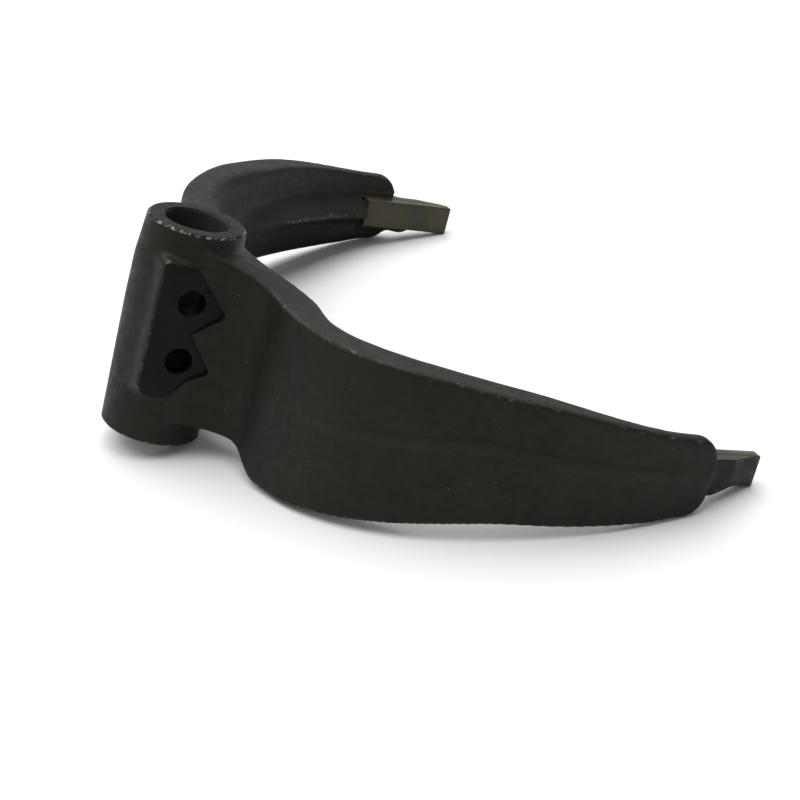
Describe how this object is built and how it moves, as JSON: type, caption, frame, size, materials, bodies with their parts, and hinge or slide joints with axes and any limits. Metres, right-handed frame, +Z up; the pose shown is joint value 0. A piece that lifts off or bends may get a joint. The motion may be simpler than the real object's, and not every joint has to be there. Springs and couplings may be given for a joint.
{
  "type": "gearbox selector fork",
  "caption": "Forged gearbox selector fork: a rail hub with cross holes through a milled flat, and curved mirrored arms that end in ground wear pads.",
  "frame": {"origin": "on the surface that the fork lies on, under the middle of its box", "axes": "+Z up from that surface; +Y across the fork, towards the rear arm; +X from the hub towards the pads. The rail axis leans about 16 degrees from +Z towards +X."},
  "size_m": [0.177, 0.238, 0.0771],
  "materials": {
    "forged_steel": "near-black phosphated forging skin, satin, with a trimmed flash line",
    "ground_steel": "ground and hardened, brown-grey with heat tint"
  },
  "bodies": {
    "root": {"hub": "forged_steel", "front_arm": "forged_steel", "rear_arm": "forged_steel", "front_pad": "ground_steel", "rear_pad": "ground_steel"}
  },
  "joints": []
}
